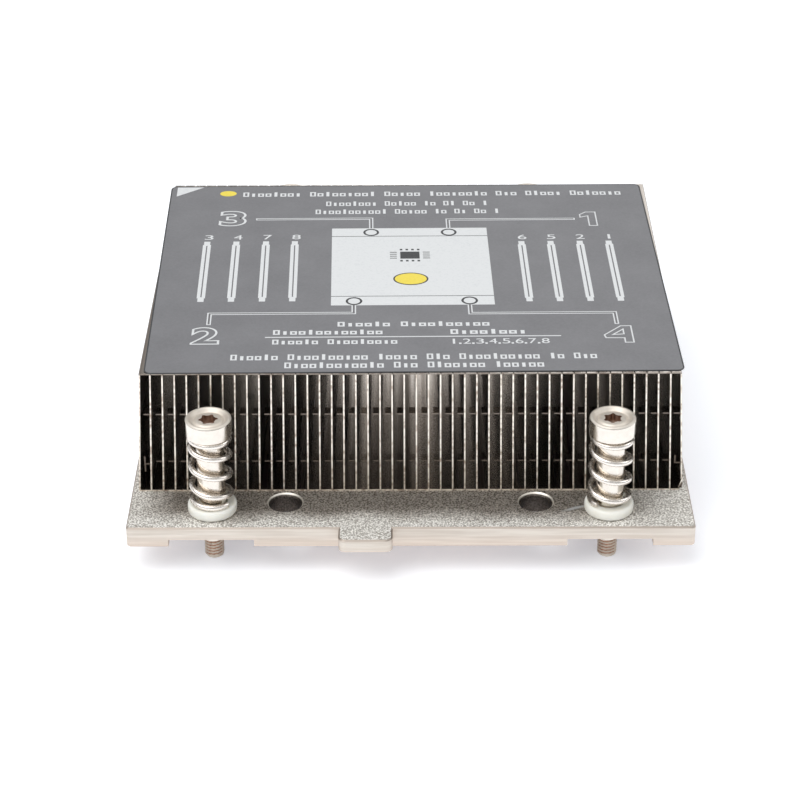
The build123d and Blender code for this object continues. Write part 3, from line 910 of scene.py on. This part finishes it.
bpy.ops.mesh.extrude_region_move(TRANSFORM_OT_translate={"value": (0, 0, -RECESS_DEPTH * MM)})
bpy.ops.mesh.inset(thickness=0.05 * MM)
bpy.ops.mesh.extrude_region_move(TRANSFORM_OT_translate={"value": (0, 0, -0.35 * MM)})
bpy.ops.transform.resize(value=(0.4, 0.4, 1),
                         center_override=(0, 0, (BOSS_TOP - RECESS_DEPTH) * MM))

select_parts(screw, "faces", lambda face: face.normal.z < -0.9 and len(face.verts) > 4)
foot = [
    (SHANK_RADIUS, SHANK_END),
    (NECK_RADIUS, SHANK_END - 0.35),
    (NECK_RADIUS, GROOVE_TOP),
    (GROOVE_RADIUS, GROOVE_TOP),
    (GROOVE_RADIUS, GROOVE_FOOT),
    (NECK_RADIUS, GROOVE_FOOT),
    (NECK_RADIUS, NECK_END + 0.35),
    (NECK_RADIUS - 0.35, NECK_END),
]
thread_length = NECK_END - screw_low
for n in range(1, THREAD_STEPS + 1):
    foot.append((THREAD_RADIUS, NECK_END - thread_length * n / THREAD_STEPS))
extend(screw, levels(foot), SHANK_RADIUS)
bpy.ops.mesh.inset(thickness=0.5 * MM)
bpy.ops.object.mode_set(mode="OBJECT")

for vertex in screw.data.vertices:
    level = vertex.co.z / MM
    wide = math.hypot(vertex.co.x, vertex.co.y) / MM
    if level > NECK_END - 1e-4 or wide < THREAD_RADIUS - 0.1:
        continue
    angle = math.atan2(vertex.co.y, vertex.co.x)
    phase = (level / THREAD_PITCH - angle / (2 * math.pi)) % 1
    cut = min(max(abs(2 * phase - 1) * 1.3 - 0.12, 0), 1)
    runout = min((NECK_END - level) / 0.3, 1)
    target = THREAD_RADIUS - THREAD_DEPTH * cut * runout
    target = min(target, THREAD_RADIUS - TIP_CHAMFER + level - screw_low)
    vertex.co.x = target * MM * math.cos(angle)
    vertex.co.y = target * MM * math.sin(angle)
bpy.ops.object.shade_smooth_by_angle(angle=math.radians(35))
screw.data.materials.append(plating("bright_nickel_plate", "#dcd3c9", "#f6f0e6", 0.12, 0.24))
# The thread's roots and the star recess get darker brown plate: painted shade.
screw.data.materials.append(plating("root_shade_plate", "#a87c64", "#d6ae96", 0.25, 0.4))
screw.data.materials.append(plating("recess_shade_plate", "#76513f", "#dccabc", 0.3, 0.45))
for face in screw.data.polygons:
    centre = face.center / MM
    wide = math.hypot(centre.x, centre.y)
    in_thread = centre.z < NECK_END and centre.z > screw_low + TIP_CHAMFER
    if in_thread and wide < THREAD_ROOT:
        face.material_index = 1
    if wide < RECESS_RADIUS and BOSS_TOP - RECESS_DEPTH - 0.5 < centre.z < BOSS_TOP - 0.2:
        face.material_index = 2

HEAD_TURNS = {"front_left": 8, "front_right": 24, "rear_left": 50, "rear_right": 3}
for name, centre in screw_places.items():
    piece = copy_to(screw, f"{name}_bolt", centre, HEAD_TURNS[name])
    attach(piece, f"{name}_fastener")
    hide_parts(f"{name}_screw")
bpy.data.objects.remove(screw)


# Retaining rings
# Open rings of dark spring steel, snapped into the screws' grooves under the plate.
BLOOM_SIZE = 1.5


def spring_steel():
    """Blackened spring steel: dark, oily, with a soft shine."""
    material, tree, shader = new_material("dark_spring_steel")
    place = add(tree, "TexCoord", {}, "Object")
    bloom = add(tree, "TexNoise", {"Vector": place, "Scale": 1 / (BLOOM_SIZE * MM), "Detail": 4.0})
    colour = add(tree, "Mix", {0: bloom, 6: "#4b4744", 7: "#7b746d"}, 2, data_type="RGBA")
    rough = add(tree, "MapRange", {0: bloom, 1: 0.3, 2: 0.7, 3: 0.25, 4: 0.45})
    feed(tree, shader, {"Base Color": colour, "Roughness": rough, "Metallic": 1.0})
    return material


ring_steel = spring_steel()
for name in screw_places:
    dress(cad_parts[f"{name}_retaining_ring"], ring_steel)


# Floor, light and camera
# The part stands on its four threads on a pale floor under soft white light.
floor_level = screw_low * MM
bpy.ops.mesh.primitive_plane_add(size=6, location=(0, 0, floor_level))
floor = start_piece("floor")
floor_material, floor_tree, floor_shader = new_material("pale_floor")
feed(floor_tree, floor_shader, {"Base Color": "#ffffff", "Roughness": 0.9,
                                "Emission Color": "#e4eeff", "Emission Strength": 0.29})
dress(floor, floor_material)

world = bpy.data.worlds.new("studio")
bpy.context.scene.world = world
world.use_nodes = True
feed(world.node_tree, world.node_tree.nodes["Background"], {"Color": "#f4f5f6", "Strength": 0.6})


def soft_light(name, place, target, size, power):
    """A square softbox that looks at a point."""
    data = bpy.data.lights.new(name, "AREA")
    data.shape = "SQUARE"
    data.size = size
    data.energy = power
    lamp = bpy.data.objects.new(name, data)
    bpy.context.scene.collection.objects.link(lamp)
    lamp.location = place
    aim = [t - p for t, p in zip(target, place)]
    flat = math.hypot(aim[0], aim[1])
    lamp.rotation_euler = (math.atan2(flat, -aim[2]), 0, math.atan2(-aim[0], aim[1]))


soft_light("overhead_light", (-0.28, -0.25, 0.75), (0, 0, 0.02), 0.75, 4.3)
soft_light("side_light", (0.7, 0.1, 0.5), (0, 0, 0.02), 0.4, 0.8)
soft_light("rear_light", (0.14, 0.8, 0.5), (0, 0, 0.02), 0.45, 0.56)

CAMERA_PLACE = (-0.54, -455.59, 265.45)
CAMERA_TURNS = (59.930, 0.235, 0.077)
FOCAL_PIXELS = 2368.3
PHOTO_WIDTH = 800
SENSOR = 36.0
camera_data = bpy.data.cameras.new("camera")
camera_data.sensor_width = SENSOR
camera_data.lens = FOCAL_PIXELS / PHOTO_WIDTH * SENSOR
camera = bpy.data.objects.new("camera", camera_data)
bpy.context.scene.collection.objects.link(camera)
camera.location = [c * MM for c in CAMERA_PLACE]
camera.rotation_euler = [math.radians(turn) for turn in CAMERA_TURNS]
camera_data.clip_start = 0.01
camera_data.clip_end = 20
bpy.context.scene.camera = camera
bpy.context.scene.view_settings.view_transform = "Standard"
